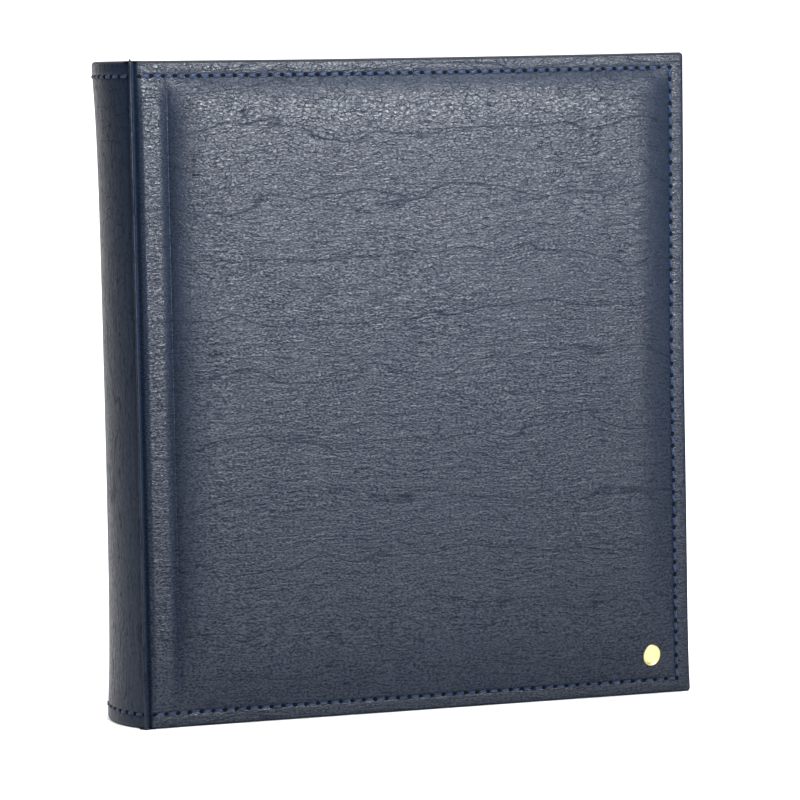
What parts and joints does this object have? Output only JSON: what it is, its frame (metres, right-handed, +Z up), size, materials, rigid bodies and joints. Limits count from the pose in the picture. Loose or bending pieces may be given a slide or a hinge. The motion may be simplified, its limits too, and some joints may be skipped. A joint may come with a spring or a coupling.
{
  "type": "coin album",
  "caption": "Upright padded leatherette ring album with a rounded spine, stitched edges and clear coin-pocket pages.",
  "frame": {"origin": "under the middle of the closed album's box, on the surface that it stands on", "axes": "+Z up along the spine, +Y out of the back cover, +X from the spine towards the fore-edge"},
  "size_m": [0.2406, 0.057, 0.265],
  "materials": {
    "leatherette": "embossed grain, soft sheen",
    "greyboard": "pressed grey board",
    "foam": "open-cell padding",
    "lining_cloth": "fine matt lining",
    "thread": "twisted polyester",
    "gilt_metal": "polished gilt",
    "nickel_steel": "nickel-plated sheet",
    "nickel_wire": "bright nickel-plated wire",
    "clear_film": "clear welded film",
    "black_card": "uncoated card"
  },
  "bodies": {
    "back_cover": {"back_board": "greyboard", "back_padding": "foam", "back_skin": "leatherette", "back_lining": "lining_cloth", "back_thread": "thread", "ring_shell": "nickel_steel", "shell_rivets": "nickel_steel", "lever_pins": "nickel_steel"},
    "spine": {"spine_board": "greyboard", "spine_skin": "leatherette", "spine_lining": "lining_cloth", "spine_thread": "thread"},
    "front_cover": {"front_board": "greyboard", "front_padding": "foam", "front_skin": "leatherette", "front_lining": "lining_cloth", "front_thread": "thread", "badge": "gilt_metal"},
    "fore_leaf_set": {"fore_leaf": "nickel_steel", "fore_half_rings": "nickel_wire"},
    "spine_leaf_set": {"spine_leaf": "nickel_steel", "spine_half_rings": "nickel_wire"},
    "upper_lever_body": {"upper_lever": "nickel_steel"},
    "lower_lever_body": {"lower_lever": "nickel_steel"},
    "pocket_page_1_body": {"pocket_page_1": "clear_film"},
    "interleaf_1_body": {"interleaf_1": "black_card"},
    "pocket_page_2_body": {"pocket_page_2": "clear_film"},
    "interleaf_2_body": {"interleaf_2": "black_card"},
    "pocket_page_3_body": {"pocket_page_3": "clear_film"},
    "interleaf_3_body": {"interleaf_3": "black_card"},
    "pocket_page_4_body": {"pocket_page_4": "clear_film"},
    "interleaf_4_body": {"interleaf_4": "black_card"},
    "pocket_page_5_body": {"pocket_page_5": "clear_film"},
    "interleaf_5_body": {"interleaf_5": "black_card"},
    "pocket_page_6_body": {"pocket_page_6": "clear_film"},
    "interleaf_6_body": {"interleaf_6": "black_card"},
    "pocket_page_7_body": {"pocket_page_7": "clear_film"},
    "interleaf_7_body": {"interleaf_7": "black_card"},
    "pocket_page_8_body": {"pocket_page_8": "clear_film"},
    "interleaf_8_body": {"interleaf_8": "black_card"}
  },
  "joints": [
    {"name": "front_cover_hinge", "type": "hinge", "parent": "spine", "child": "front_cover", "pos_m": [-0.10975, -0.025, 0.1325], "axis": [0, 0, -1], "range_deg": [0, 90]},
    {"name": "spine_hinge", "type": "hinge", "parent": "back_cover", "child": "spine", "pos_m": [-0.10975, 0.025, 0.1325], "axis": [0, 0, -1], "range_deg": [0, 90]},
    {"name": "fore_leaf_hinge", "type": "hinge", "parent": "back_cover", "child": "fore_leaf_set", "pos_m": [-0.07935, 0.017, 0.1325], "axis": [0, 0, 1], "range_deg": [0, 8]},
    {"name": "spine_leaf_hinge", "type": "hinge", "parent": "back_cover", "child": "spine_leaf_set", "pos_m": [-0.10015, 0.017, 0.1325], "axis": [0, 0, -1], "range_deg": [0, 8]},
    {"name": "upper_lever_pivot", "type": "hinge", "parent": "back_cover", "child": "upper_lever_body", "pos_m": [-0.08975, 0.0174, 0.2375], "axis": [-1, 0, 0], "range_deg": [0, 22]},
    {"name": "lower_lever_pivot", "type": "hinge", "parent": "back_cover", "child": "lower_lever_body", "pos_m": [-0.08975, 0.0174, 0.0275], "axis": [1, 0, 0], "range_deg": [0, 22]},
    {"name": "pocket_page_1_turn", "type": "hinge", "parent": "back_cover", "child": "pocket_page_1_body", "pos_m": [-0.08975, 0, 0.1325], "axis": [0, 0, -1], "range_deg": [0, 180]},
    {"name": "interleaf_1_turn", "type": "hinge", "parent": "back_cover", "child": "interleaf_1_body", "pos_m": [-0.08975, 0, 0.1325], "axis": [0, 0, -1], "range_deg": [0, 168.6]},
    {"name": "pocket_page_2_turn", "type": "hinge", "parent": "back_cover", "child": "pocket_page_2_body", "pos_m": [-0.08975, 0, 0.1325], "axis": [0, 0, -1], "range_deg": [0, 157.2]},
    {"name": "interleaf_2_turn", "type": "hinge", "parent": "back_cover", "child": "interleaf_2_body", "pos_m": [-0.08975, 0, 0.1325], "axis": [0, 0, -1], "range_deg": [0, 145.8]},
    {"name": "pocket_page_3_turn", "type": "hinge", "parent": "back_cover", "child": "pocket_page_3_body", "pos_m": [-0.08975, 0, 0.1325], "axis": [0, 0, -1], "range_deg": [0, 134.4]},
    {"name": "interleaf_3_turn", "type": "hinge", "parent": "back_cover", "child": "interleaf_3_body", "pos_m": [-0.08975, 0, 0.1325], "axis": [0, 0, -1], "range_deg": [0, 123]},
    {"name": "pocket_page_4_turn", "type": "hinge", "parent": "back_cover", "child": "pocket_page_4_body", "pos_m": [-0.08975, 0, 0.1325], "axis": [0, 0, -1], "range_deg": [0, 111.6]},
    {"name": "interleaf_4_turn", "type": "hinge", "parent": "back_cover", "child": "interleaf_4_body", "pos_m": [-0.08975, 0, 0.1325], "axis": [0, 0, -1], "range_deg": [0, 100.2]},
    {"name": "pocket_page_5_turn", "type": "hinge", "parent": "back_cover", "child": "pocket_page_5_body", "pos_m": [-0.08975, 0, 0.1325], "axis": [0, 0, -1], "range_deg": [0, 88.8]},
    {"name": "interleaf_5_turn", "type": "hinge", "parent": "back_cover", "child": "interleaf_5_body", "pos_m": [-0.08975, 0, 0.1325], "axis": [0, 0, -1], "range_deg": [0, 77.4]},
    {"name": "pocket_page_6_turn", "type": "hinge", "parent": "back_cover", "child": "pocket_page_6_body", "pos_m": [-0.08975, 0, 0.1325], "axis": [0, 0, -1], "range_deg": [0, 66]},
    {"name": "interleaf_6_turn", "type": "hinge", "parent": "back_cover", "child": "interleaf_6_body", "pos_m": [-0.08975, 0, 0.1325], "axis": [0, 0, -1], "range_deg": [0, 54.6]},
    {"name": "pocket_page_7_turn", "type": "hinge", "parent": "back_cover", "child": "pocket_page_7_body", "pos_m": [-0.08975, 0, 0.1325], "axis": [0, 0, -1], "range_deg": [0, 43.2]},
    {"name": "interleaf_7_turn", "type": "hinge", "parent": "back_cover", "child": "interleaf_7_body", "pos_m": [-0.08975, 0, 0.1325], "axis": [0, 0, -1], "range_deg": [0, 31.8]},
    {"name": "pocket_page_8_turn", "type": "hinge", "parent": "back_cover", "child": "pocket_page_8_body", "pos_m": [-0.08975, 0, 0.1325], "axis": [0, 0, -1], "range_deg": [0, 20.4]},
    {"name": "interleaf_8_turn", "type": "hinge", "parent": "back_cover", "child": "interleaf_8_body", "pos_m": [-0.08975, 0, 0.1325], "axis": [0, 0, -1], "range_deg": [0, 9]}
  ],
  "couplings": [
    {"joint": "spine_hinge", "follows": "front_cover_hinge", "ratio": 1},
    {"joint": "spine_leaf_hinge", "follows": "fore_leaf_hinge", "ratio": 1},
    {"joint": "upper_lever_pivot", "follows": "fore_leaf_hinge", "ratio": 2.75},
    {"joint": "lower_lever_pivot", "follows": "fore_leaf_hinge", "ratio": 2.75},
    {"joint": "pocket_page_1_turn", "follows": "front_cover_hinge", "ratio": 2},
    {"joint": "interleaf_1_turn", "follows": "front_cover_hinge", "ratio": 1.8733},
    {"joint": "pocket_page_2_turn", "follows": "front_cover_hinge", "ratio": 1.7467},
    {"joint": "interleaf_2_turn", "follows": "front_cover_hinge", "ratio": 1.62},
    {"joint": "pocket_page_3_turn", "follows": "front_cover_hinge", "ratio": 1.4933},
    {"joint": "interleaf_3_turn", "follows": "front_cover_hinge", "ratio": 1.3667},
    {"joint": "pocket_page_4_turn", "follows": "front_cover_hinge", "ratio": 1.24},
    {"joint": "interleaf_4_turn", "follows": "front_cover_hinge", "ratio": 1.1133},
    {"joint": "pocket_page_5_turn", "follows": "front_cover_hinge", "ratio": 0.9867},
    {"joint": "interleaf_5_turn", "follows": "front_cover_hinge", "ratio": 0.86},
    {"joint": "pocket_page_6_turn", "follows": "front_cover_hinge", "ratio": 0.7333},
    {"joint": "interleaf_6_turn", "follows": "front_cover_hinge", "ratio": 0.6067},
    {"joint": "pocket_page_7_turn", "follows": "front_cover_hinge", "ratio": 0.48},
    {"joint": "interleaf_7_turn", "follows": "front_cover_hinge", "ratio": 0.3533},
    {"joint": "pocket_page_8_turn", "follows": "front_cover_hinge", "ratio": 0.2267},
    {"joint": "interleaf_8_turn", "follows": "front_cover_hinge", "ratio": 0.1}
  ]
}
